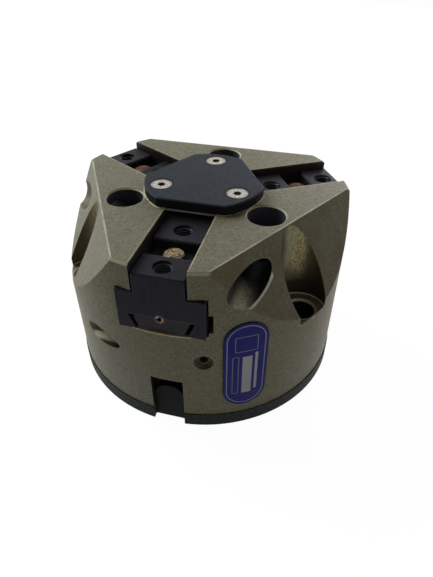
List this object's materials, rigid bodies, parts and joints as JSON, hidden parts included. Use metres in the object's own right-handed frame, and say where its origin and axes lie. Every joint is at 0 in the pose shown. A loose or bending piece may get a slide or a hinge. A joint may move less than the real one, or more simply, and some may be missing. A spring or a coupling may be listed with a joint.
{
  "type": "three jaw centric gripper",
  "caption": "Short round pneumatic gripper whose T-guided base jaws are driven radially by a piston with a wedge hook.",
  "frame": {"origin": "centre of the flat mounting face, on the centric axis", "axes": "+Z along the centric axis from the mounting face to the jaws; the front jaw travels along -Y"},
  "size_m": [0.0846, 0.0843, 0.0582],
  "materials": {
    "housing": "hard-anodised, fine matte",
    "base_cover": "black-grey anodised, matte",
    "cover_plate": "black anodised, matte",
    "jaw": "blackened, semi-matte",
    "switch_cam": "blackened",
    "hardened_steel": "ground",
    "piston": "turned",
    "screw": "stainless, satin",
    "dark_screw": "blackened",
    "vent_plug": "sintered, rough",
    "cam_screw": "copper-coated",
    "port_plug": "dull",
    "label": "semi-gloss print",
    "seal": "matte"
  },
  "bodies": {
    "housing_body": {"housing": "housing", "base_cover": "base_cover", "base_cover_seal": "seal", "base_cover_screws": "dark_screw", "cover_plate": "cover_plate", "cover_plate_screws": "screw", "purge_port_plug": "port_plug", "rod_seal": "seal", "label_plate": "label"},
    "piston_body": {"piston": "piston", "piston_seal": "seal", "wedge_hook": "hardened_steel", "hook_screw": "dark_screw"},
    "jaw_front": {"base_jaw_front": "jaw", "vent_plug_front": "vent_plug", "switch_cam_front": "switch_cam", "cam_screw_front": "cam_screw"},
    "jaw_right": {"base_jaw_right": "jaw", "vent_plug_right": "vent_plug", "switch_cam_right": "switch_cam", "cam_screw_right": "cam_screw"},
    "jaw_left": {"base_jaw_left": "jaw", "vent_plug_left": "vent_plug", "switch_cam_left": "switch_cam", "cam_screw_left": "cam_screw"}
  },
  "joints": [
    {"name": "piston_slide", "type": "slide", "parent": "housing_body", "child": "piston_body", "axis": [0, 0, 1], "range_m": [0, 0.008]},
    {"name": "jaw_front_slide", "type": "slide", "parent": "housing_body", "child": "jaw_front", "axis": [0, -1, 0], "range_m": [0, 0.006]},
    {"name": "jaw_right_slide", "type": "slide", "parent": "housing_body", "child": "jaw_right", "axis": [0.866, 0.5, 0], "range_m": [0, 0.006]},
    {"name": "jaw_left_slide", "type": "slide", "parent": "housing_body", "child": "jaw_left", "axis": [-0.866, 0.5, 0], "range_m": [0, 0.006]}
  ],
  "couplings": [
    {"joint": "jaw_front_slide", "follows": "piston_slide", "ratio": 0.75},
    {"joint": "jaw_right_slide", "follows": "piston_slide", "ratio": 0.75},
    {"joint": "jaw_left_slide", "follows": "piston_slide", "ratio": 0.75}
  ]
}
